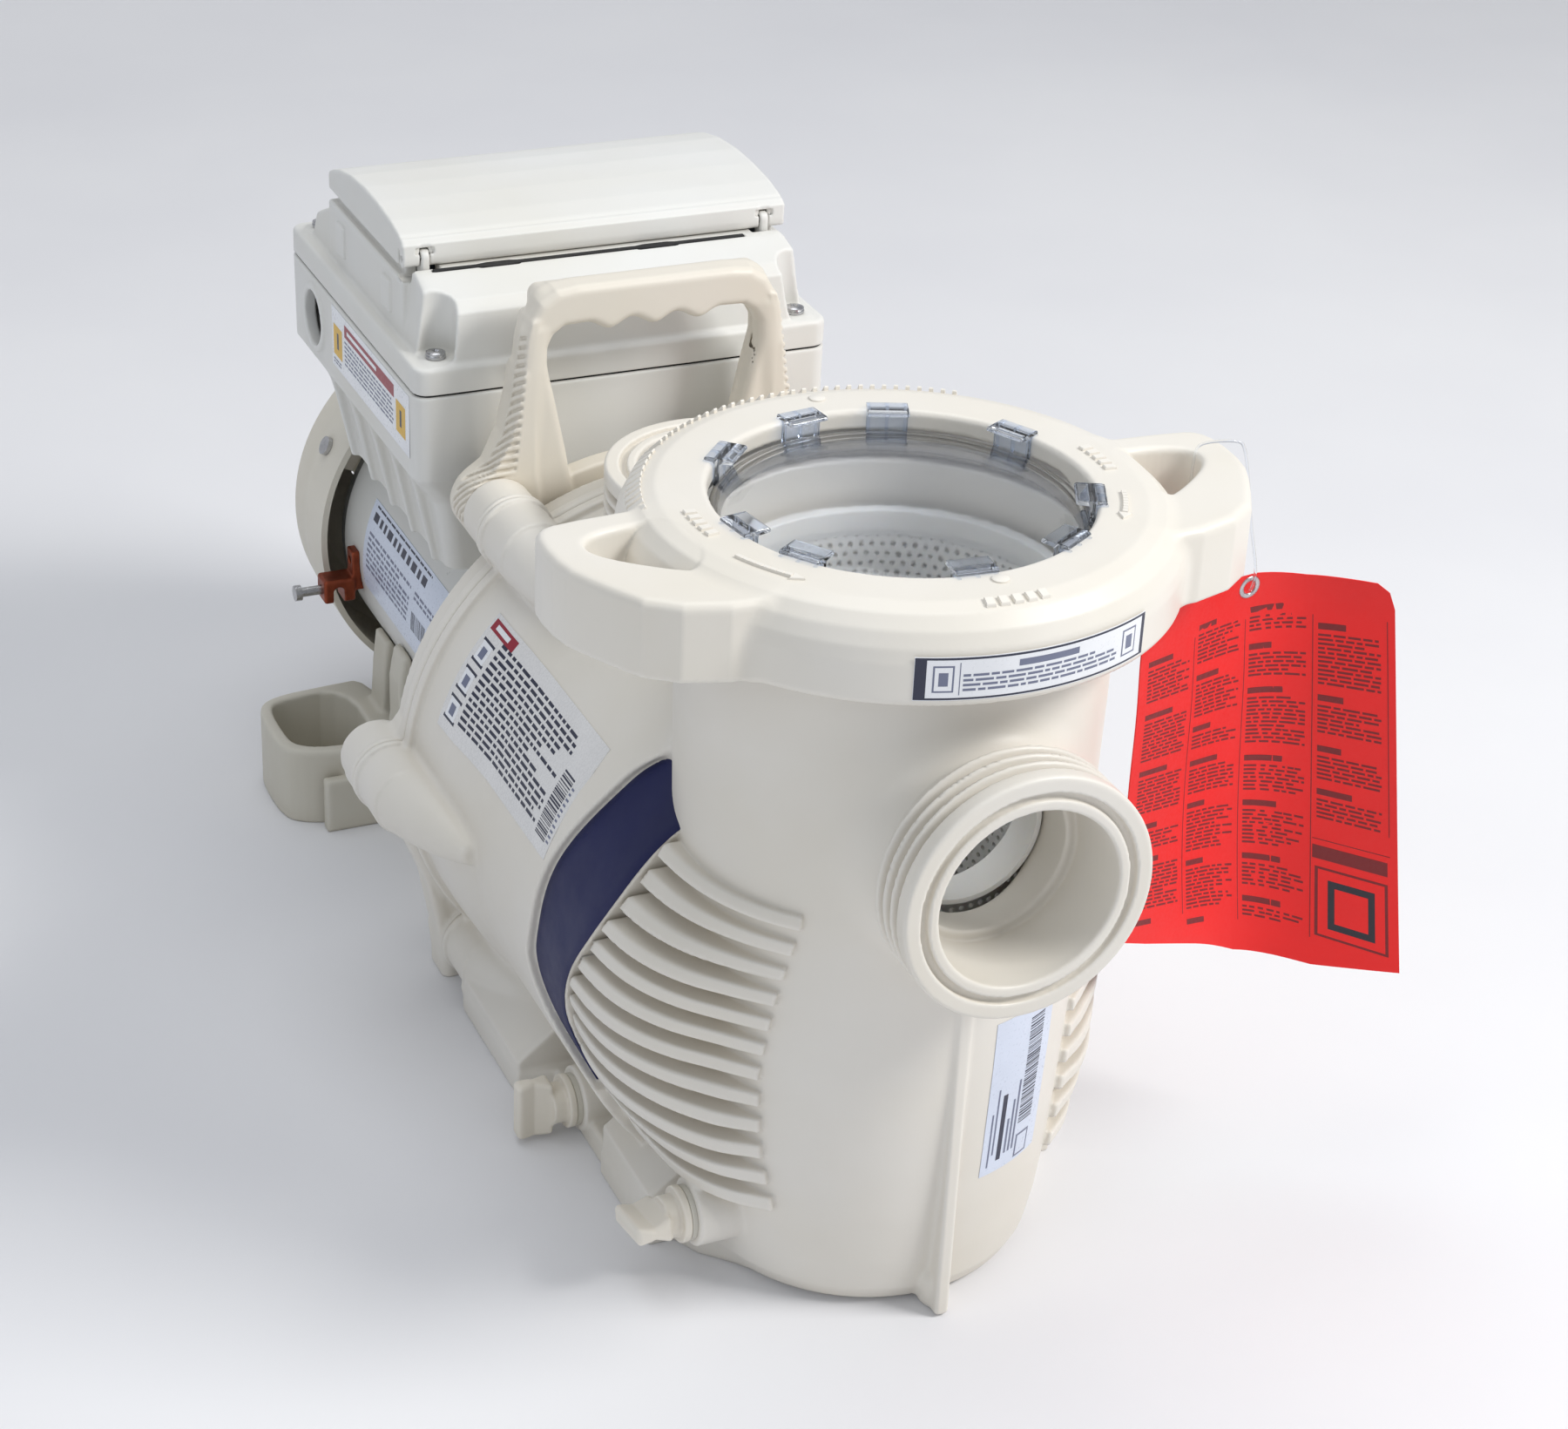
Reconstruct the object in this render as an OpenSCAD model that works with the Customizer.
// Swimming-pool circulation pump with a strainer pot, twist-lock clear lid,
// end-suction volute, seal plate, air-cooled motor and a variable-speed drive.
// Frame: millimetres, +Z up, floor at z = 0. The strainer pot's vertical axis is
// the Z axis, the suction port faces -Y (front) and the motor extends along +Y (rear).

/* [Wet end] */
// Height of the motor shaft above the floor
shaft_z = 119.6; // [119.2:0.2:120]
// Outer radius of the volute shoulder
volute_r = 125; // [124.5:0.5:125.5]
// Outer radius of the strainer pot near its top
pot_r = 88; // [87:0.5:89]
// Wall thickness of the moulded housing
wall = 6; // [5:0.5:7]
// Y position of the joint between housing and seal plate
joint_y = 230; // [230:1:230]

/* [Ports] */
// Bore radius of the suction and discharge ports
port_bore_r = 38.5; // [38:0.1:39]
// Crest radius of the union thread on both ports
port_thread_r = 53; // [52:0.5:54]
// Height of the suction port centre
suction_z = 232; // [230:1:234]
// Distance of the suction port face in front of the pot axis
suction_face = 128; // [126:1:130]
// Y position of the discharge port axis
discharge_y = 174; // [172:1:175]
// Height of the discharge port face
discharge_z = 282; // [280:1:284]

/* [Fins] */
// Number of horizontal cooling-look fins on each side of the pot
fin_count = 12; // [10:1:12]
// Height of the lowest fin's underside
fin_z0 = 48; // [46:1:50]
// Vertical pitch of the fins
fin_pitch = 13.1; // [12.9:0.1:13.1]
// Thickness of a fin
fin_t = 6.6; // [5:0.2:7]

/* [Lid] */
// Radius of the opening in the clamp ring
window_r = 76.5; // [76:0.5:77]
// Outer radius of the clamp ring
ring_r = 113; // [112:1:114]
// Height of the clamp ring's top face
ring_top = 347; // [347:1:347]
// Height of the clamp ring's lower edge
ring_bottom = 311; // [311:1:311]

/* [Motor] */
// Outer radius of the motor shell
motor_r = 84; // [83:0.5:85]
// Y position of the motor shell's front end
motor_y0 = 268; // [268:1:268]
// Y position of the motor shell's rear end
motor_y1 = 478; // [478:1:478]
// Radius of the motor shaft
shaft_r = 8; // [7.5:0.5:8]

/* [Drive] */
// Half width of the drive enclosure
drive_hw = 104.5; // [104:0.5:106]
// Y position of the drive enclosure's front face
drive_y0 = 290; // [290:1:290]
// Y position of the drive enclosure's rear face
drive_y1 = 494; // [494:1:494]
// Travel of a keypad button
button_travel = 1.0; // [0.6:0.1:1.2]

/* [Hidden] */
$fn = 96;

// Colours
cream = [0.90, 0.88, 0.84];
white = [0.92, 0.92, 0.90];
navy = [0.06, 0.09, 0.30];
steel = [0.70, 0.71, 0.73];
rubber = [0.08, 0.08, 0.09];
copper = [0.62, 0.27, 0.17];
clear_blue = [0.8, 0.88, 0.95, 0.35];
charcoal = [0.2, 0.2, 0.22];
impeller_black = [0.16, 0.16, 0.18];
seal_grey = [0.25, 0.25, 0.28];
ceramic = [0.93, 0.92, 0.88];
stand_grey = [0.78, 0.77, 0.73];
cast_grey = [0.62, 0.62, 0.62];
stator_grey = [0.55, 0.55, 0.57];
rotor_grey = [0.5, 0.5, 0.52];
winding_orange = [0.72, 0.40, 0.18];
fan_black = [0.15, 0.15, 0.16];
board_green = [0.1, 0.35, 0.2];
sink_grey = [0.75, 0.76, 0.78];
capacitor_blue = [0.1, 0.1, 0.2];
panel_slate = [0.25, 0.27, 0.32];
display_green = [0.45, 0.55, 0.45, 0.8];
stop_red = [0.75, 0.15, 0.12];
speed_grey = [0.6, 0.62, 0.66];
arrow_blue = [0.3, 0.5, 0.75];
label_blue = [0.85, 0.88, 0.95];
label_white = [0.95, 0.95, 0.97];
ring_label_blue = [0.9, 0.92, 0.98];
tag_red = [0.9, 0.12, 0.1];
loop_clear = [0.9, 0.92, 0.95, 0.5];

// ---- shared layout ----
// Joint bosses: angles about the shaft from +X up towards +Z
handle_boss = 56;
lower_boss = 46;
boss_angles = [0, handle_boss, 180 - handle_boss, 180, 180 + lower_boss, 360 - lower_boss];
boss_circle_r = 139;
boss_r = 17;
// Boss faces of the two drain plugs, both on the -X side
pot_plug = [-90, -21, 33];
volute_plug = [-98, 93, 17];
neck_r = 90;
neck_top = 326;
pot_floor = 14;
pot_inner_r = pot_r - wall - 4;
volute_y0 = 92;
flange_r = volute_r + 5;
seal_y1 = 266; // rear face of the seal plate
// Feet start here and are then cut level at z = 0
foot_z0 = -4;
motor_bolt_angles = [45:90:315];
motor_bolt_circle_r = 69;
through_bolt_angles = [0:90:270];
through_bolt_circle_r = 77;
stator_slot_angles = [0:30:330];
stator_slot_circle_r = 56;

// ---- helpers ----
// Puts children, drawn along +Z, onto the shaft axis pointing along +Y from y.
module on_shaft(y = 0) {
  translate([0, y, shaft_z]) rotate([-90, 0, 0]) children();
}
// Repeats children at angles about the shaft; local X is radial and local Z is +Y.
module around_shaft(angles, radius, y) {
  for (a = angles) on_shaft(y) rotate([0, 0, -a]) translate([radius, 0, 0]) children();
}
// Revolves a list of [y, radius] points about the shaft axis.
module rev_y(points) {
  on_shaft() rotate_extrude() polygon([for (p = points) [p[1], p[0]]]);
}
// Rectangular [y, radius] section for rev_y.
function band(y0, y1, inner, outer) = [[y0, inner], [y0, outer], [y1, outer], [y1, inner]];
// Hollow cylinder along +Z.
module ring(outer, inner, height) {
  difference() {
    cylinder(r = outer, h = height);
    translate([0, 0, -1]) cylinder(r = inner, h = height + 2);
  }
}
// O-ring of given centreline and section radii.
module oring(radius, section_r) {
  rotate_extrude() translate([radius, 0]) circle(r = section_r, $fn = 24);
}
// Cylinders from a point along +X, +Y and +Z, and along the shaft from y.
module rod_x(at, radius, length) {
  translate(at) rotate([0, 90, 0]) cylinder(r = radius, h = length);
}
module rod_y(at, radius, length) {
  translate(at) rotate([-90, 0, 0]) cylinder(r = radius, h = length);
}
module rod_z(at, radius, length) {
  translate(at) cylinder(r = radius, h = length);
}
module shaft_rod(y, radius, length) {
  on_shaft(y) cylinder(r = radius, h = length);
}
module block(at, size) {
  translate(at) cube(size);
}
// Extrudes a (y, z) outline along +X from x.
module side_extrude(x, width) {
  translate([x, 0, 0]) rotate([90, 0, 90]) linear_extrude(width) children();
}
// Extrudes an (x, z) outline forward, towards -Y, from y.
module forward_extrude(y, depth) {
  translate([0, y, 0]) rotate([90, 0, 0]) linear_extrude(depth) children();
}
// Both halves of a left-right pair.
module pair() {
  children();
  mirror([1, 0, 0]) children();
}
// Closes a half outline with its mirror image in x.
function both_sides(half) =
  concat(half, [for (i = [len(half) - 1:-1:0]) [-half[i][0], half[i][1]]]);
// Points of a quadratic Bezier curve.
function bezier(start, middle, end, steps) = [for (i = [0:steps])
  let (t = i / steps) (1 - t) * (1 - t) * start + 2 * t * (1 - t) * middle + t * t * end];
// Centre of the joint boss at an angle, at depth y.
function boss_point(angle, y) =
  [boss_circle_r * cos(angle), y, shaft_z + boss_circle_r * sin(angle)];
// Block that trims a foot level with the floor.
module below_floor(y0, length) {
  block([-300, y0, -60], [600, length, 60]);
}

// ---- pump housing ----
// Accent band edges in side view, as [y, z].
band_rear = [[30, 222], [49, 214], [62, 190], [75, 160], [82, 130], [85, 105], [80, 84],
  [60, 70], [34, 60]];
band_front = [[2, 206], [10, 200], [17, 172], [28, 148], [42, 124], [51, 101], [52, 84],
  [34, 64]];

// Pot and neck section, as [radius, z].
pot_profile = [[0, foot_z0], [66, foot_z0], [66, 0], [71.5, 3], [75, 10], [77.8, 25],
  [80.5, 50], [82.2, 75], [84.5, 120], [86.5, 200], [pot_r, 268], [pot_r, 305],
  [neck_r, 307], [neck_r, neck_top], [0, neck_top]];

// Right half of the foot in plan, as [x, y] from the rear forwards.
foot_half = [[113, 204], [113, 126], [96, 122], [96, 62], [98, 58], [98, 25.5],
  [80, -10.6], [57, -33], [36, -44], [14, -50]];

// Fins: reach from the shaft, furthest x, and radius where they meet the pot
fin_reach_r = 120;
fin_max_x = 119;
fin_root_r = 89;
function fin_x(shaft_dz) = sqrt(max(1, fin_reach_r * fin_reach_r - shaft_dz * shaft_dz));
// Y of the accent band's front edge at a height, from a table of [z, y].
function band_y(z) = z > 200 ? 6 : lookup(z, [[60, 38], [64, 40], [84, 56], [101, 55],
  [124, 46], [148, 32], [172, 20], [200, 9]]);
function fin_end(z) = -46 - 12 * pow(abs(z - 112) / 75, 2);

// One fin on the +X side with its underside at z.
module fin(z) {
  mid_z = z + fin_t / 2;
  outer_x = min(fin_x(mid_z - shaft_z), fin_max_x);
  band_edge_y = band_y(mid_z);
  end_y = fin_end(z);
  end_x = sqrt(fin_root_r * fin_root_r - end_y * end_y);
  curve = bezier([outer_x, band_edge_y - 6], [outer_x + 1, end_y * 0.55], [end_x, end_y], 10);
  translate([0, 0, z]) linear_extrude(fin_t)
    polygon(concat([[40, 92], [outer_x - 8, 92], [outer_x - 4, band_edge_y - 5]],
      curve, [[end_x - 5, end_y - 3], [40, -20]]));
}

// Places for the ports: face at z = 0, bodies drawn downwards.
module at_suction() {
  translate([0, -suction_face, suction_z]) rotate([90, 0, 0]) children();
}
module at_discharge() {
  translate([0, discharge_y, discharge_z]) children();
}
// Port with a plain collar at the face and three thread ridges behind it.
module port_body(length = 60) {
  thread_pitch = 6.2;
  root_r = port_thread_r - 6;
  rod_z([0, 0, -8], port_thread_r, 8);
  rod_z([0, 0, -length], port_thread_r - 5, length - 7);
  for (i = [0:2]) translate([0, 0, -14.5 - i * thread_pitch])
    rotate_extrude() polygon([[root_r, 0], [port_thread_r - 2.8, 0.4],
      [port_thread_r, 3.4], [port_thread_r, 4.6], [root_r, 5.4]]);
}
module port_face_groove() {
  translate([0, 0, -2.6]) ring(46.2, 43.4, 4);
}

module pot_body() {
  rotate_extrude() polygon(pot_profile);
  // bayonet lugs on the neck
  for (a = [0:90:270]) rotate([0, 0, a + 10]) intersection() {
    translate([0, 0, 318]) ring(95.6, neck_r - 2, 6);
    block([0, -17, 310], [110, 34, 30]);
  }
  // rib down the front of the pot
  block([-3, -86.2, 1], [6, 12, 160]);
}

module volute_body() {
  // drum, flaring to the joint flange
  rev_y([[volute_y0 - wall, 0], [volute_y0 - wall, volute_r - 1],
    [joint_y - 80, volute_r - 0.5], [joint_y - 44, volute_r + 3.6],
    [joint_y - 22, flange_r], [joint_y, flange_r], [joint_y, 0]]);
  // skirt that carries the coloured band, reaching forward of the drum
  intersection() {
    rev_y(band(-20, volute_y0, volute_r - 11, volute_r - 5.2));
    side_extrude(-200, 400)
      polygon(concat(band_front, [[34, 26], [110, 26], [110, 300], [-6, 300]]));
  }
  // raised shoulder behind the band
  intersection() {
    rev_y(band(-20, volute_y0 + 8, volute_r - 6, volute_r));
    side_extrude(-200, 400)
      polygon(concat(band_rear, [[34, 26], [120, 26], [120, 300], [20, 300]]));
  }
  // passage tube between pot and drum
  shaft_rod(66, 38, 28);
  // bolt bosses with tapered fairings
  around_shaft(boss_angles, boss_circle_r, joint_y) {
    rod_z([0, 0, -34], boss_r, 34);
    translate([-3, 0, -80]) cylinder(r1 = 5, r2 = 16.8, h = 46.5, $fn = 48);
  }
}

module housing_foot() {
  translate([0, 0, foot_z0]) linear_extrude(20) polygon(both_sides(foot_half));
  pair() block([70, 126, foot_z0], [43, 75, 26]);
  pair() block([58, 2, foot_z0], [40, 54, 32]);
}

module pot_cavity() {
  rod_z([0, 0, pot_floor], 66, 20);
  translate([0, 0, pot_floor + 16]) cylinder(r1 = 66, r2 = pot_inner_r, h = 60);
  rod_z([0, 0, pot_floor + 75], pot_inner_r, 400);
  // lid O-ring seat
  rod_z([0, 0, 323], 86.2, 10);
  // suction bore and inlet step
  rod_y([0, -suction_face - 1, suction_z], port_bore_r, 36);
  rod_y([0, -suction_face, suction_z], 34, 80);
  at_suction() port_face_groove();
}

module volute_cavity() {
  chamber_r = 105;
  // chamber, open to the seal plate
  rev_y([[volute_y0 + 5, 0], [volute_y0 + 5, 94], [volute_y0 + 14, chamber_r],
    [joint_y + 1, chamber_r], [joint_y + 1, 0]]);
  // O-ring groove in the joint face
  on_shaft(joint_y - 3.2) ring(115.2, 110, 5);
  // passage from the pot to the impeller eye
  shaft_rod(60, 30, 60);
  // discharge bore
  rod_z([0, discharge_y, shaft_z + 60], port_bore_r - 4, 200);
  rod_z([0, discharge_y, discharge_z - 34], port_bore_r, 40);
  at_discharge() port_face_groove();
  // bolt holes
  around_shaft(boss_angles, boss_circle_r, joint_y - 26) cylinder(r = 4.05, h = 40);
}

module drain_bores() {
  rod_x(pot_plug - [1, 0, 0], 9, 50);
  rod_x(volute_plug - [1, 0, 0], 9, 23);
  // narrow passage running in from the volute plug, then rearwards
  rod_x(volute_plug + [20, 0, 4], 4, 60);
  rod_y(volute_plug + [76, 0, 4], 4, 40);
}

module pump_housing() {
  color(cream) difference() {
    union() {
      pot_body();
      volute_body();
      for (i = [0:fin_count - 1]) pair() fin(fin_z0 + i * fin_pitch);
      at_suction() port_body();
      at_discharge() port_body();
      housing_foot();
      // drain bosses
      rod_x(pot_plug, 15, 30);
      rod_x(volute_plug, 15, 28);
    }
    below_floor(-200, 600);
    pot_cavity();
    volute_cavity();
    drain_bores();
  }
}

// Coloured band set into the recess in front of the shoulder, one each side.
module accent_inserts() {
  rear_edge = [for (p = band_rear) p - [0.6, 0]];
  front_edge = [for (i = [len(band_front) - 1:-1:1]) band_front[i] + [i > 5 ? 4.2 : 1, 0]];
  color(navy) pair() difference() {
    intersection() {
      rev_y(band(-20, 110, volute_r - 5.15, volute_r - 4));
      side_extrude(60, 100) polygon(concat(rear_edge, front_edge));
    }
    rod_z([0, 0, 150], neck_r + 0.2, 100);
  }
}

// ---- strainer basket and lid ----
module strainer_basket() {
  basket_wall = 2.5;
  bottom_r = 62;
  top_r = 70;
  inlet_r = 33;
  color(white) difference() {
    union() {
      translate([0, 0, 40]) cylinder(r1 = bottom_r, r2 = top_r, h = 262);
      // rim
      rod_z([0, 0, 298], 73, 6);
      // legs
      for (a = [30:120:270]) rotate([0, 0, a]) rod_z([52, 0, pot_floor + 0.05], 5, 27.5);
      // inlet stub facing the suction port
      translate([0, -58, suction_z]) rotate([90, 0, 0]) cylinder(r = inlet_r, h = 17);
    }
    translate([0, 0, 43])
      cylinder(r1 = bottom_r - basket_wall, r2 = top_r - basket_wall, h = 268);
    rod_y([0, -90, suction_z], inlet_r - basket_wall, 50);
    // two circles of holes in the floor
    for (circle_r = [16, 34], a = [0:360 / (circle_r / 2):359])
      rotate([0, 0, a]) translate([circle_r, 0, 30]) cylinder(r = 2.5, h = 30, $fn = 24);
  }
  // bail handle across the top
  color(white) difference() {
    block([-68.5, -3, 285], [137, 6, 11]);
    block([-50, -4, 278], [100, 8, 13]);
  }
}

// Clear dome: elliptical shell with a stepped rim, as [radius, z].
dome_rise = 9;
dome_z = 337;
dome_r = 75.9;
dome_inner_z = 334;
dome_inner_r = 72.5;
function dome_arc(radius, base_z, angles) =
  [for (a = angles) [radius * sin(a), base_z + dome_rise * cos(a)]];
// Angles of the nine clips about the pot axis
clip_angles = [27, 69, 98, 137, 190, 215, 265, 302, 335];
module lid_dome() {
  color(clear_blue) {
    rotate_extrude() polygon(concat([[0, dome_z + dome_rise]],
      dome_arc(dome_r, dome_z, [18:18:90]),
      [[dome_r, 333], [82, 333], [82, 338], [88, 338], [88, 328], [dome_inner_r, 328]],
      dome_arc(dome_inner_r, dome_inner_z, [72:-18:18]),
      [[0, dome_inner_z + dome_rise]]));
    // clips that rise through the window and lap over the clamp ring
    for (a = clip_angles) rotate([0, 0, a]) {
      block([73.2, -9, dome_z], [2.5, 18, ring_top - dome_z + 2.5]);
      block([73.3, -9, ring_top + 0.4], [7.5, 18, 2.1]);
    }
  }
}

// Ring section, as [radius, z].
clamp_profile = [[86, ring_bottom], [ring_r - 1, ring_bottom], [ring_r, ring_bottom + 1.5],
  [ring_r, 330], [111.5, 337], [107, 343], [100, 346], [window_r + 2, ring_top],
  [window_r, ring_top - 1.5], [window_r, 339], [86, 339]];
// Grip ear on the +X side and the pocket through it, in plan as [x, y].
ear_plan = [[92, 25], [137, 22.5], [145, 19], [149.5, 9], [149, -14], [143, -30], [92, -68]];
ear_pocket = [[113.5, 9], [131, 6], [134.5, 0], [134, -11], [129, -17], [111, -30]];
module lid_clamp_ring() {
  color(cream) difference() {
    union() {
      rotate_extrude() polygon(clamp_profile);
      pair() translate([0, 0, ring_bottom]) linear_extrude(33) polygon(ear_plan);
      // grip ridges round the rear edge
      for (a = [58:4:122]) rotate([0, 0, a]) block([102, -1, 342], [7.5, 2, 2.6]);
    }
    rod_z([0, 0, ring_bottom - 1], 97, 339.5 - ring_bottom + 1);
    pair() translate([0, 0, ring_bottom - 1]) linear_extrude(60) polygon(ear_pocket);
  }
  // inner lugs that hook under the neck's lugs
  color(cream) for (a = [0:90:270]) rotate([0, 0, a + 10]) intersection() {
    translate([0, 0, ring_bottom]) ring(97.5, 91, 6);
    block([0, -16, ring_bottom - 2], [110, 32, 12]);
  }
}

module lid_oring() {
  color(rubber) translate([0, 0, 325.5]) oring(83.5, 2.3);
}

// ---- drain plugs ----
// Wing-headed plug: boss face at the origin, head towards -X, wing turned about X.
module drain_plug(turn) {
  color(white) {
    rod_x([-6, 0, 0], 12.4, 3.5);
    rod_x([-12, 0, 0], 9.4, 6.5);
    // wing, its two broad sides shaved at a slant
    rotate([turn, 0, 0]) difference() {
      block([-28, -7, -15], [16.5, 14, 30]);
      for (side = [-1, 1])
        translate([-29, side * 8.2 - 3.2, -17]) rotate([0, 0, side * 7]) cube([13, 6, 34]);
    }
    rod_x([-3, 0, 0], 8.94, 17);
  }
}
module pot_drain_plug() {
  translate(pot_plug) drain_plug(78);
}
module volute_drain_plug() {
  translate(volute_plug) drain_plug(0);
}
// Sealing ring against the boss face.
module drain_ring() {
  rotate([0, -90, 0]) difference() {
    rod_z([0, 0, 0.1], 12, 2.3);
    rod_z([0, 0, -1], 9.05, 5);
  }
}
module pot_drain_oring() {
  color(rubber) translate(pot_plug) drain_ring();
}
module volute_drain_oring() {
  color(rubber) translate(volute_plug) drain_ring();
}

// ---- joint, impeller and shaft seal ----
module housing_oring() {
  color(rubber) on_shaft(joint_y - 2.4) ring(114.9, 110.3, 2.3);
}

module seal_plate() {
  rim_r = volute_r + 4.6;
  color(cream) difference() {
    union() {
      rev_y([[joint_y, 0], [joint_y, rim_r], [joint_y + 22, rim_r], [joint_y + 28, 108],
        [seal_y1, 86], [seal_y1, 0]]);
      around_shaft(boss_angles, boss_circle_r, joint_y) cylinder(r = boss_r, h = 24);
      // foot and web
      block([-112, joint_y, foot_z0], [224, 23, 26]);
      block([-106, joint_y, 10], [212, 19, 46]);
    }
    below_floor(0, 600);
    // seal pocket and shaft opening
    shaft_rod(joint_y - 1, 28, 12);
    shaft_rod(joint_y, 18.5, 60);
    // dished rear side
    on_shaft(joint_y + 16) ring(60, 32, 30);
    around_shaft(boss_angles, boss_circle_r, joint_y - 1) cylinder(r = 4.5, h = 40);
    // motor bolt holes, counterbored from the front
    around_shaft(motor_bolt_angles, motor_bolt_circle_r, joint_y) {
      cylinder(r = 4.3, h = 60);
      rod_z([0, 0, -1], 8.2, 9);
    }
  }
}

// Hex bolt with a flange under its head.
module flange_bolt(length) {
  cylinder(r = 3.95, h = length);
  translate([0, 0, length - 1.8]) ring(9.5, 3.9, 1.8);
  translate([0, 0, length]) cylinder(r = 7.4, h = 5.3, $fn = 6);
}
// The two bolts that also hold the carry handle are longer.
module housing_bolts() {
  color(steel) for (a = boss_angles)
    around_shaft([a], boss_circle_r, joint_y - 24)
      flange_bolt((a == handle_boss || a == 180 - handle_boss) ? 58.9 : 50);
}

module diffuser() {
  color(charcoal) difference() {
    union() {
      rev_y([[128, 0], [128, 44], [150, 58], [168, 84], [205, 92], [205, 0]]);
      shaft_rod(84, 29.7, 46);
    }
    shaft_rod(80, 26.2, 110);
    rev_y([[148, 0], [148, 40], [170, 78], [207, 78], [207, 0]]);
    // slots through the outer wall
    around_shaft([0:45:315], 74, 184) block([0, -5, 0], [26, 10, 14]);
  }
}

module impeller() {
  color(impeller_black) difference() {
    union() {
      // front shroud with its eye
      rev_y([[134, 23.2], [134, 26], [157, 26], [175, 72], [179, 72], [161, 23.2]]);
      // back plate and hub
      rev_y([[193, 0], [193, 72], [196.5, 72], [198, 20], [206, 16], [206, 0]]);
      shaft_rod(182, 14, 12);
      // swept vanes, each a chain of five short blocks
      around_shaft([0:60:300], 0, 176) for (k = [0:4])
        rotate([0, 0, -k * 10]) block([20 + k * 9.6, -2, 0], [14, 4, 18]);
    }
    shaft_rod(170, 4.2, 60);
    shaft_rod(184, shaft_r + 0.03, 60);
  }
}
module impeller_screw() {
  color(steel) {
    on_shaft(173) cylinder(r = 7.5, h = 8.9, $fn = 6);
    shaft_rod(181.8, 4.1, 16);
  }
}

// Rotating half of the shaft seal: two collars, a sleeve and a four-coil spring.
module seal_rotary() {
  bore_r = shaft_r + 0.05;
  color(seal_grey) {
    on_shaft(206.1) ring(14, bore_r, 7);
    on_shaft(213) ring(11.5, bore_r, 12.2);
    on_shaft(225.1) ring(14, bore_r, 6.7);
    for (i = [0:3]) on_shaft(214.6 + i * 2.9) oring(12.4, 1);
  }
}
module seal_seat() {
  color(ceramic) {
    on_shaft(232) ring(16, 10, 9.5);
    on_shaft(241.4) ring(18.45, 10, 10);
  }
}

// ---- carry handle ----
// Left halves of the frame and its opening, as [x, z] from the foot up.
handle_outer = [[-77, 224], [-72.6, 236], [-68.5, 257], [-65.6, 284], [-62.4, 318],
  [-56, 334], [-46, 339]];
handle_inner = [[-36, 220], [-42.4, 258], [-52.8, 302], [-52, 312], [-46, 319]];
module carry_handle() {
  color(cream) difference() {
    union() {
      forward_extrude(272, 16) difference() {
        polygon(both_sides(handle_outer));
        polygon(both_sides(handle_inner));
        // finger scallops under the grip
        for (x = [-33, -11, 11, 33]) translate([x, 319]) circle(r = 6, $fn = 24);
      }
      // strip along the rear of the grip
      block([-56, 271, 322], [112, 8, 14]);
      // legs widen towards the rear at their feet
      pair() block([46, 271, 224], [26, 16, 34]);
      // bolted lugs
      pair() rod_y(boss_point(handle_boss, 254.2), 16.6, 8.8);
    }
    // pocket in the rear of each leg, and a deeper one at its foot
    pair() forward_extrude(273, 12)
      polygon([[47, 232], [50, 262], [56.5, 300], [59.5, 300], [62, 262], [63, 232]]);
    pair() block([50, 266, 228], [18, 30, 26]);
    // bolt holes, with room for the heads
    pair() translate(boss_point(handle_boss, 250)) rotate([-90, 0, 0]) {
      cylinder(r = 4.5, h = 30);
      rod_z([0, 0, 12.9], 11, 30);
    }
    // clearance round the seal plate
    shaft_rod(250, 117, 60);
  }
}

// ---- motor mounting ----
module motor_bolts() {
  color(steel) around_shaft(motor_bolt_angles, motor_bolt_circle_r, 232) {
    cylinder(r = 6.6, h = 6, $fn = 6);
    rod_z([0, 0, 5.9], 4.2, 34.5);
  }
}

stand_screw_at = [82, 300, 0];
// Left halves of the saddle arms, as [x, z].
front_saddle = [[-96, foot_z0], [-100, 60], [-92, 96], [-70, 110]];
rear_saddle = [[-88, foot_z0], [-92, 60], [-84, 84]];
// Side loops for the pad anchors, in plan as [x, y].
loop_base = [[80, 384], [118, 388], [133, 400], [133, 444], [118, 458], [80, 462]];
loop_body = [[80, 390], [136, 396], [143, 406], [143, 446], [134, 456], [80, 462]];
loop_pocket = [[101, 405], [124, 407], [131, 414], [131, 438], [124, 445], [101, 449]];
module motor_stand() {
  color(stand_grey) difference() {
    union() {
      block([-92, seal_y1 - 9.5, foot_z0], [184, 72, 22]);
      pair() block([82, joint_y + 26.6, foot_z0], [10, 33, 52]);
      block([-88, 320, foot_z0], [176, 130, 18]);
      // saddle arms under the motor
      forward_extrude(392, 22) polygon(both_sides(front_saddle));
      forward_extrude(440, 20) polygon(both_sides(rear_saddle));
      // side loops
      pair() translate([0, 0, foot_z0]) linear_extrude(12) polygon(loop_base);
      pair() translate([0, 0, 7]) linear_extrude(36) polygon(loop_body);
    }
    below_floor(0, 700);
    // clearance for the motor, the seal plate and its lower bolt heads
    shaft_rod(240, motor_r + 0.6, 300);
    shaft_rod(240, 130, 18.4);
    shaft_rod(240, 109, 24);
    pair() rod_y(boss_point(-lower_boss, 250), 10.4, 13);
    // pocket and anchor hole in each side loop
    pair() translate([0, 0, 8.5]) linear_extrude(60) polygon(loop_pocket);
    pair() rod_z([116, 426, -1], 5.5, 20);
    // pockets in the top of the base
    block([-70, 262, 4.5], [140, 98, 60]);
    block([-70, 394, 4.5], [140, 24, 60]);
    pair() rod_z(stand_screw_at - [0, 0, 1], 3.4, 40);
  }
}
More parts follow.
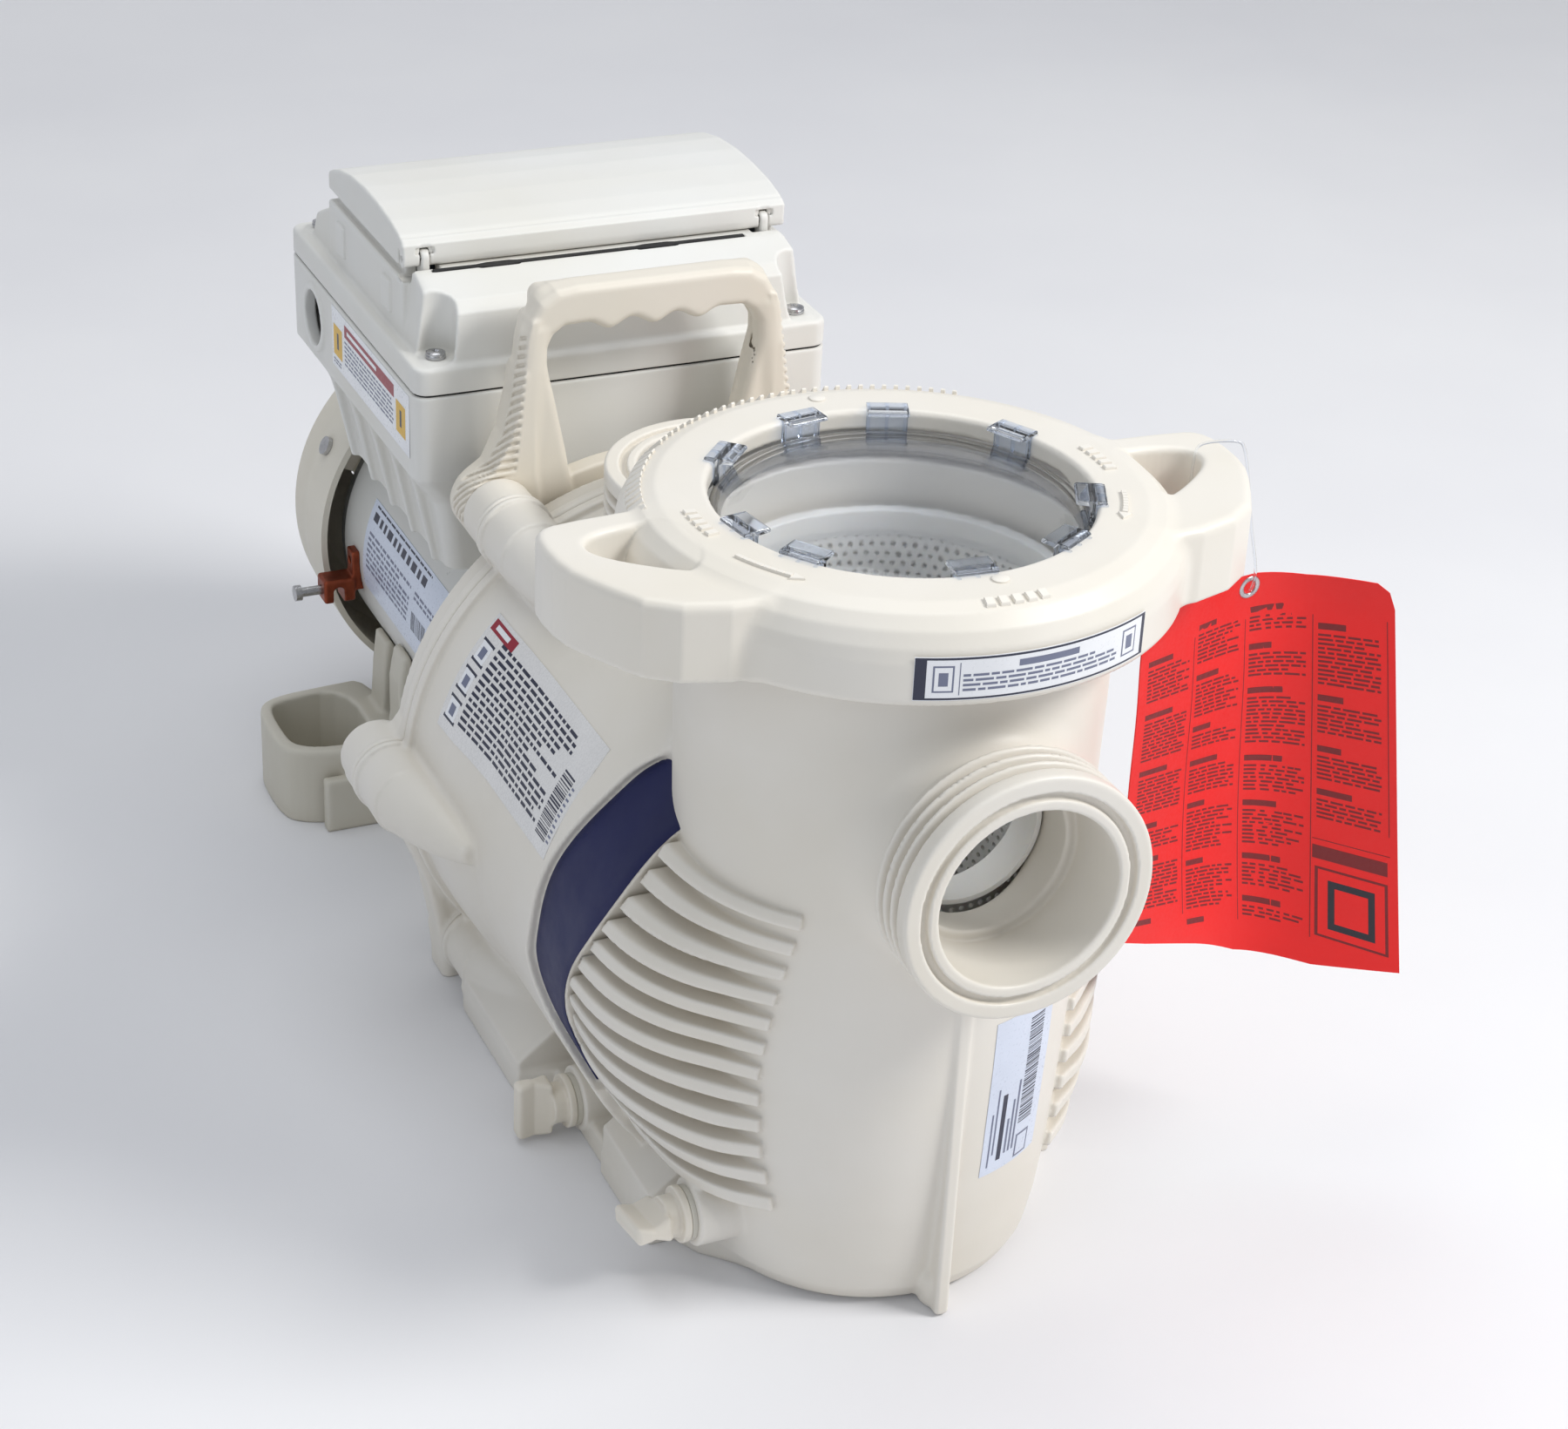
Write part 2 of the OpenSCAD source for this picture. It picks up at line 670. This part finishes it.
module stand_screws() {
  color(steel) pair() {
    translate(stand_screw_at + [0, 0, 18.1]) cylinder(r = 6.5, h = 4.2, $fn = 6);
    rod_z(stand_screw_at + [0, 0, 3], 3.3, 15.2);
  }
}

// ---- motor ----
shell_inner_r = motor_r - 3;
core_r = motor_r - 3.1; // parts that slide into the shell
bell_y1 = motor_y1 + 5; // rear face of the rear end bell

module front_end_bell() {
  color(cast_grey) difference() {
    rev_y([[seal_y1, 0], [seal_y1, 80], [motor_y0, shell_inner_r], [motor_y0 + 10, core_r],
      [motor_y0 + 10, 0]]);
    // annular recess, open to the rear
    rev_y([[seal_y1 + 7, 30], [seal_y1 + 7, 76], [motor_y0 + 11, 78], [motor_y0 + 11, 30]]);
    // shaft hole and bearing seat
    shaft_rod(260, shaft_r + 1, 60);
    shaft_rod(268.2, 20.05, 60);
    around_shaft(motor_bolt_angles, motor_bolt_circle_r, seal_y1 - 1) cylinder(r = 4.3, h = 8);
    around_shaft(through_bolt_angles, through_bolt_circle_r, seal_y1 + 3)
      cylinder(r = 2.6, h = 30);
  }
}
module motor_shell() {
  color(cream) on_shaft(motor_y0) ring(motor_r, shell_inner_r, motor_y1 - motor_y0);
}
module rear_end_bell() {
  color(cast_grey) difference() {
    rev_y([[motor_y1 - 8, 0], [motor_y1 - 8, core_r], [motor_y1, core_r],
      [motor_y1 + 0.1, motor_r], [bell_y1, motor_r], [bell_y1, 0]]);
    // bearing seat and shaft hole
    shaft_rod(motor_y1 - 10, 17.55, 11.2);
    shaft_rod(motor_y1, shaft_r + 1, 20);
    // annular recess, open to the front
    rev_y(band(motor_y1 - 9, motor_y1, 26, 72));
    around_shaft(through_bolt_angles, through_bolt_circle_r, motor_y1 - 10)
      cylinder(r = 2.6, h = 30);
  }
}
module through_bolts() {
  bolt_r = 2.4;
  start_y = seal_y1 + 3.2;
  length = bell_y1 - start_y;
  color(steel) around_shaft(through_bolt_angles, through_bolt_circle_r, start_y) {
    cylinder(r = bolt_r, h = length);
    translate([0, 0, length + 0.1]) cylinder(r = 4.6, h = 3.5, $fn = 6);
    // joins the shank to its head
    rod_z([0, 0, length - 1], bolt_r, 2);
  }
}

module stator_core() {
  color(stator_grey) difference() {
    shaft_rod(310, core_r, 100);
    shaft_rod(309, 46, 102);
    around_shaft(stator_slot_angles, stator_slot_circle_r, 309)
      cylinder(r = 5.5, h = 102, $fn = 32);
    around_shaft(through_bolt_angles, through_bolt_circle_r, 309) cylinder(r = 3, h = 102);
  }
}
// End turns joined by a conductor in each slot.
module stator_windings() {
  color(winding_orange) union() {
    for (y = [292, 410.1]) on_shaft(y) ring(64, 49, 17.9);
    around_shaft(stator_slot_angles, stator_slot_circle_r, 309)
      cylinder(r = 5.3, h = 102, $fn = 32);
  }
}
module rotor_core() {
  color(rotor_grey) difference() {
    shaft_rod(312, 45.4, 96);
    shaft_rod(311, 12, 98);
    around_shaft([0:45:315], 30, 311) cylinder(r = 5, h = 98, $fn = 32);
  }
}
module motor_shaft() {
  color(steel) difference() {
    union() {
      shaft_rod(184.2, shaft_r, 328);
      // thicker middle through the rotor
      shaft_rod(279, 12, 181);
    }
    // hole for the impeller screw
    shaft_rod(183, 4.15, 16);
  }
}

// Bearing with a shallow annular groove in each face.
module bearing(outer, width, groove_outer, groove_inner) {
  difference() {
    ring(outer, shaft_r + 0.03, width);
    for (z = [-0.1, width - 0.9]) translate([0, 0, z]) ring(groove_outer, groove_inner, 1);
  }
}
module front_bearing() {
  color(steel) on_shaft(268.4) bearing(20, 10.4, 17.2, 10.8);
}
module rear_bearing() {
  color(steel) on_shaft(motor_y1 - 9.9) bearing(17.5, 9, 15.2, 10.6);
}
module wave_spring() {
  color(steel) on_shaft(motor_y1 - 0.7) ring(17.2, 12.5, 1.5);
}

// ---- fan and shroud ----
module cooling_fan() {
  fan_y = 492;
  color(fan_black) difference() {
    union() {
      shaft_rod(fan_y, 14, 18);
      shaft_rod(fan_y, 62, 3);
      around_shaft([0:40:320], 12, fan_y) block([0, -1.2, 0], [58, 2.4, 20]);
    }
    shaft_rod(480, shaft_r + 0.02, 60);
  }
}

shroud_y1 = 538;
shroud_screw_y = 495;
shroud_screw_angles = [28, 152, 250];
shroud_hole_r = 2.2;
// Shroud section, as [y, radius]: outside front to rear, then back along the inside.
shroud_profile = [[473, 95.2], [473, 98.5], [500, 98.5], [526, 97], [534, 93],
  [shroud_y1, 84], [shroud_y1, 0], [shroud_y1 - 3, 0], [shroud_y1 - 3, 82], [531, 90],
  [524, 94], [500, 95.4]];
module fan_shroud() {
  color(cream) difference() {
    rev_y(shroud_profile);
    // circles of air holes in the rear face
    for (circle_r = [16:11:60])
      around_shaft([0:360 / round(circle_r / 1.75):359], circle_r, shroud_y1 - 5)
        cylinder(r = 3.4, h = 10, $fn = 16);
    around_shaft(shroud_screw_angles, 60, shroud_screw_y)
      rod_x([0, 0, 0], shroud_hole_r, 60);
  }
  // stand-offs that reach in to the motor
  color(cream) around_shaft(shroud_screw_angles, 0, shroud_screw_y) difference() {
    block([76, -6, -8], [19.4, 12, 16]);
    rod_x([70, 0, 0], shroud_hole_r, 60);
  }
  // their feet on the rear end bell
  color(cream) around_shaft(shroud_screw_angles, 0, bell_y1 + 0.1) difference() {
    block([74, -6, 0], [9, 12, 20]);
    rod_x([70, 0, 11.9], shroud_hole_r, 60);
  }
}
module shroud_screws() {
  color(steel) around_shaft(shroud_screw_angles, 98.6, shroud_screw_y) rotate([0, 90, 0]) {
    cylinder(r = 5, h = 2.4);
    rod_z([0, 0, -20], 2.1, 20.5);
  }
}

// ---- bonding lug, on the motor's -X side ----
module bonding_lug() {
  color(copper) difference() {
    translate([-88, 456, 104]) union() {
      block([0, -4, -3], [8, 10, 22]);
      block([-16, -6, -8], [17, 14, 13]);
    }
    // hole along Y, then the clamp screw and mounting holes along X
    translate([-96, 466, 102]) rotate([90, 0, 0]) cylinder(r = 3, h = 20);
    rod_x([-108, 457, 102], 2.6, 10);
    rod_x([-90, 457, 117], 2.2, 12);
    shaft_rod(440, motor_r + 0.05, 40);
  }
}
module bonding_screw() {
  color(steel) translate([-88, 457, 102]) rotate([0, -90, 0]) {
    rod_z([0, 0, 12], 2.5, 16);
    rod_z([0, 0, 27], 4.2, 3.4);
  }
}

// ---- drive enclosure ----
cover_z0 = 280;
cover_z1 = 293; // top of the cover's straight sides
// Upright slab with rounded corners, centred on x = 0.
module rounded_slab(half_width, y0, y1, radius, height) {
  translate([-half_width + radius, y0 + radius, 0]) linear_extrude(height)
    offset(r = radius, $fn = 32) square([2 * (half_width - radius), y1 - y0 - 2 * radius]);
}
// The same shape set in by a margin from the enclosure's sides.
module inset_slab(z, margin, radius, height) {
  translate([0, 0, z])
    rounded_slab(drive_hw - margin, drive_y0 + margin, drive_y1 - margin, radius, height);
}
// Rounded slab placed at height z.
module slab_at(z, half_width, y0, y1, radius, height) {
  translate([0, 0, z]) rounded_slab(half_width, y0, y1, radius, height);
}
// Repeats children at the four corner screws.
module at_cover_screws(z) {
  pair() for (y = [drive_y0 + 12, drive_y1 - 12]) translate([91, y, z]) children();
}

module drive_housing() {
  color(cream) difference() {
    union() {
      inset_slab(236, 0, 8, 42.9);
      // underside narrowing down to the motor
      hull() {
        slab_at(222, 92, drive_y0 + 4, 470, 8, 1);
        slab_at(235, 103, drive_y0 + 2, 490, 8, 1.2);
      }
      hull() {
        block([-86, drive_y0 + 8, 184], [172, 168, 1]);
        block([-92, drive_y0 + 5, 221], [184, 178, 2]);
      }
    }
    // clearance for the motor and the fan shroud
    shaft_rod(280, motor_r + 0.3, 186);
    shaft_rod(465, 102, 60);
    // electronics bay and the deeper well in its floor
    inset_slab(240, 5, 6, 60);
    slab_at(226, 78, drive_y0 + 22, 456, 6, 60);
    // conduit entries, one each side
    pair() rod_x([drive_hw - 8, 452, 258], 14, 20);
    at_cover_screws(250) cylinder(r = 2, h = 60);
  }
  // screw towers
  color(cream) difference() {
    at_cover_screws(239) cylinder(r = 6, h = 39.9);
    at_cover_screws(250) cylinder(r = 2, h = 60);
  }
}
module drive_gasket() {
  color(rubber) difference() {
    inset_slab(278.95, 1.2, 7, 1.05);
    inset_slab(277.95, 4.6, 6, 4);
  }
}

// Hinge axis of the keypad lid, parallel to X
hinge_y = 333.5;
hinge_z = 331.5;
keypad_z0 = 320; // floor of the keypad recess
module drive_cover() {
  color(cream) difference() {
    union() {
      inset_slab(cover_z0, 0, 8, cover_z1 - cover_z0);
      hull() {
        slab_at(cover_z1 - 1, 98, 293, 484, 8, 1);
        slab_at(305, 96, 295, 478, 8, 1);
        slab_at(318, 94, 296, 450, 6, 0.5);
        block([-93, 322, 326], [186, 118, 0.5]);
      }
    }
    // hollow underside
    inset_slab(279, 4, 5, 11);
    slab_at(289, 78, 316, 468, 6, 14);
    // recess for the keypad
    block([-88, 338, keypad_z0], [176, 98, 20]);
    // corner screw pockets and holes
    at_cover_screws(cover_z1 + 1) cylinder(r = 9.5, h = 60);
    at_cover_screws(275) cylinder(r = 2.6, h = 60);
    // long slot in front of the lid hinge
    block([-84, 325.6, 322], [158, 2.2, 10]);
    // hinge pockets
    pair() block([79, 329, 320.5], [18, 9.1, 10]);
  }
  // hinge ears
  color(cream) pair() difference() {
    union() {
      block([84, 330, 320.5], [4, 7.5, 10]);
      rod_x([84, hinge_y, hinge_z], 3.7, 4);
    }
    rod_x([78, hinge_y, hinge_z], 1.65, 20);
  }
}
module cover_screws() {
  color(steel) at_cover_screws(0) {
    rod_z([0, 0, 262], 1.9, 33);
    rod_z([0, 0, 294.1], 4.6, 2.6);
  }
}

// ---- drive electronics ----
board_z = 244;
board_t = 1.8;
part_z = board_z + board_t + 0.1; // underside of the parts above the board
module circuit_board() {
  color(board_green) block([-84, 314, board_z], [168, 150, board_t]);
}
module heat_sink() {
  color(sink_grey) {
    block([-70, 330, 228], [140, 60, 5]);
    for (x = [-66:12:66]) block([x, 330, 232.9], [3, 60, 11]);
  }
}
module capacitors() {
  color(capacitor_blue) for (x = [-50, -14, 22]) rod_z([x, 430, part_z], 12, 30);
}
module terminal_block() {
  color(charcoal) translate([38, 400, part_z]) difference() {
    cube([40, 20, 14]);
    for (i = [0:2]) rod_z([8 + i * 12, 6, 6], 3.4, 12);
  }
}

// ---- keypad ----
panel_t = 4;
button_floor = 321.2; // floor of the button wells
// Button centres, as [x, y]
start_stop_at = [-60, 353];
speed_1_at = [-30, 353];
speed_2_at = [-8, 353];
speed_3_at = [14, 353];
up_at = [44, 362];
down_at = [44, 346];
button_places = [start_stop_at, speed_1_at, speed_2_at, speed_3_at, up_at, down_at];
module keypad_panel() {
  color(panel_slate) difference() {
    block([-87.6, 340, keypad_z0 + 0.05], [175.2, 95.6, panel_t]);
    // display recess
    block([-40, 384, 321.4], [80, 34, 10]);
    for (at = button_places) rod_z([at[0], at[1], button_floor], 6.3, 10);
  }
}
module display_window() {
  color(display_green) block([-39.8, 384.2, 321.5], [79.6, 33.6, 2.3]);
}
// Button held above its well floor by the travel and a 0.05 gap.
module button(at) {
  rod_z([at[0], at[1], button_floor + button_travel + 0.05], 6.1, 3.4);
}
module button_start_stop() {
  color(stop_red) button(start_stop_at);
}
module button_speed_1() {
  color(speed_grey) button(speed_1_at);
}
module button_speed_2() {
  color(speed_grey) button(speed_2_at);
}
module button_speed_3() {
  color(speed_grey) button(speed_3_at);
}
module button_up() {
  color(arrow_blue) button(up_at);
}
module button_down() {
  color(arrow_blue) button(down_at);
}

// Lid sections as [y, z]: arched top, underside, hollow, and the lip at the front.
lid_top = [[331.5, 338.5], [336, 341.2], [350, 344.4], [370, 346.6], [392, 347],
  [412, 345.4], [430, 342], [444, 337.5], [448, 333]];
lid_underside = [[448, 327.2], [440.5, 327.2], [440.5, 333], [338.6, 333.5], [335.5, 336],
  [331.5, 336]];
lid_hollow = [[444.5, 320], [444.5, 333.5], [430, 338.6], [412, 342], [392, 343.8],
  [370, 343.4], [350, 341], [340.5, 337.5], [340.5, 320]];
lid_lip = [[331.1, 337.2], [330.7, 331], [331.1, 328.6], [332.1, 327.3], [335.1, 327.3],
  [336.4, 328.5], [336.4, 337.2]];
// Lengths of the lip as [start x, width], with a gap at each hinge ear
lip_spans = [[-83.7, 167.4], [88.3, 8.6], [-96.9, 8.6]];
module keypad_lid() {
  color(cream) difference() {
    union() {
      side_extrude(-97, 194) polygon(concat(lid_underside, lid_top));
      // side walls
      pair() block([91.5, 338.8, 326.9], [5.5, 109, 8]);
      for (span = lip_spans) side_extrude(span[0], span[1]) polygon(lid_lip);
    }
    side_extrude(-91, 182) polygon(lid_hollow);
    pair() rod_x([78, hinge_y, hinge_z], 1.6, 20);
  }
}
module lid_hinge_pins() {
  color(steel) pair() rod_x([79.6, hinge_y, hinge_z], 1.55, 12.8);
}

// ---- labels ----
label_t = 0.35;
// Patch on the motor shell's -X side; angles run from -X up towards +Z.
module motor_label() {
  low_angle = -8;
  high_angle = 26;
  length = 134;
  wedge = [for (i = [0:8]) let (a = low_angle + (high_angle - low_angle) * i / 8)
    [-200 * cos(a), -200 * sin(a)]];
  on_shaft(312) intersection() {
    ring(motor_r + label_t, motor_r + 0.02, length);
    linear_extrude(length) polygon(concat([[0, 0]], wedge));
  }
}
// Patch on the front of the pot, towards +X; section as [radius, z].
module pot_label() {
  rotate([0, 0, -78]) translate([0, 0, 62]) intersection() {
    rotate_extrude() polygon([[81.42, 0], [82.3, 13], [84.6, 58], [85.25, 84],
      [85.6, 84], [84.95, 58], [82.65, 13], [81.77, 0]]);
    linear_extrude(84) polygon([[0, 0], [120, -2], [120, 54]]);
  }
}
// Patch following the flare of the volute on its -X side.
module volute_label() {
  intersection() {
    rev_y([[79, 110], [79, volute_r + 0.35], [joint_y - 80, volute_r + 0.35],
      [joint_y - 44, volute_r + 3.95], [joint_y - 24, volute_r + 5.3], [joint_y - 24, 110]]);
    difference() {
      block([-200, 60, 155.5], [150, 200, 52]);
      rev_y([[50, 0], [50, volute_r + 0.03], [joint_y - 80, volute_r + 0.03],
        [joint_y - 44, volute_r + 3.63], [joint_y - 22, flange_r + 0.03],
        [joint_y + 5, flange_r + 0.03], [joint_y + 5, 0]]);
    }
    side_extrude(-200, 160) polygon([[93, 206], [204, 207], [204, 156], [80, 156], [80, 172]]);
  }
}
module rating_labels() {
  color(label_blue) {
    motor_label();
    // drive enclosure's -X side
    block([-drive_hw - 0.37, 300, 245], [label_t, 122, 32]);
    pot_label();
  }
  color(label_white) volute_label();
}
// Curved label on the front of the clamp ring.
module ring_label() {
  height = 18;
  color(ring_label_blue) rotate([0, 0, -87]) intersection() {
    translate([0, 0, 314]) ring(ring_r + 0.4, ring_r + 0.05, height);
    translate([0, 0, 314]) linear_extrude(height) polygon([[0, 0], [160, -78], [160, 78]]);
  }
}

// ---- hang tag, by the clamp ring's +X ear ----
tag_hole = [152, -22, 288];
tag_turn = 20;
tag_tilt = 3;
tag_t = 0.7;
// Tag outline about its hole, as [across, up].
tag_outline = [[-66, -20], [-46, 2], [-4, 12], [54, 3], [74, -12], [74, -200], [20, -193],
  [-66, -172]];
module hang_tag() {
  color(tag_red) translate(tag_hole) rotate([0, 0, tag_turn]) rotate([90, 0, 0])
    translate([0, 0, -tag_t / 2]) linear_extrude(tag_t) rotate([0, 0, tag_tilt]) difference() {
      polygon(tag_outline);
      circle(r = 3.2);
    }
}
// Closed path of the loop through the tag and round the ear, as [x, y, z].
loop_points = [[152.2, -20.2, 287.6], [150.5, -17, 296], [136, -8, 304], [129.6, -4.5, 309],
  [129.6, -4.5, 349], [150.9, -8, 349], [152.6, -20, 309], [152.6, -25.5, 296],
  [151.9, -23.8, 287.6]];
// Round strand between two points.
module strand(start, end, radius) {
  hull() {
    translate(start) sphere(r = radius, $fn = 10);
    translate(end) sphere(r = radius, $fn = 10);
  }
}
module tag_loop() {
  count = len(loop_points);
  color(loop_clear) union() {
    for (i = [0:count - 1]) strand(loop_points[i], loop_points[(i + 1) % count], 0.6);
  }
}

pump_housing();
accent_inserts();
strainer_basket();
lid_dome();
lid_clamp_ring();
lid_oring();
pot_drain_plug();
pot_drain_oring();
volute_drain_plug();
volute_drain_oring();
housing_oring();
seal_plate();
housing_bolts();
diffuser();
impeller();
impeller_screw();
seal_rotary();
seal_seat();
carry_handle();
motor_bolts();
motor_stand();
stand_screws();
front_end_bell();
motor_shell();
rear_end_bell();
through_bolts();
stator_core();
stator_windings();
rotor_core();
motor_shaft();
front_bearing();
rear_bearing();
wave_spring();
cooling_fan();
fan_shroud();
shroud_screws();
bonding_lug();
bonding_screw();
drive_housing();
drive_cover();
drive_gasket();
cover_screws();
circuit_board();
heat_sink();
capacitors();
terminal_block();
keypad_panel();
display_window();
button_start_stop();
button_speed_1();
button_speed_2();
button_speed_3();
button_up();
button_down();
keypad_lid();
lid_hinge_pins();
rating_labels();
ring_label();
hang_tag();
tag_loop();
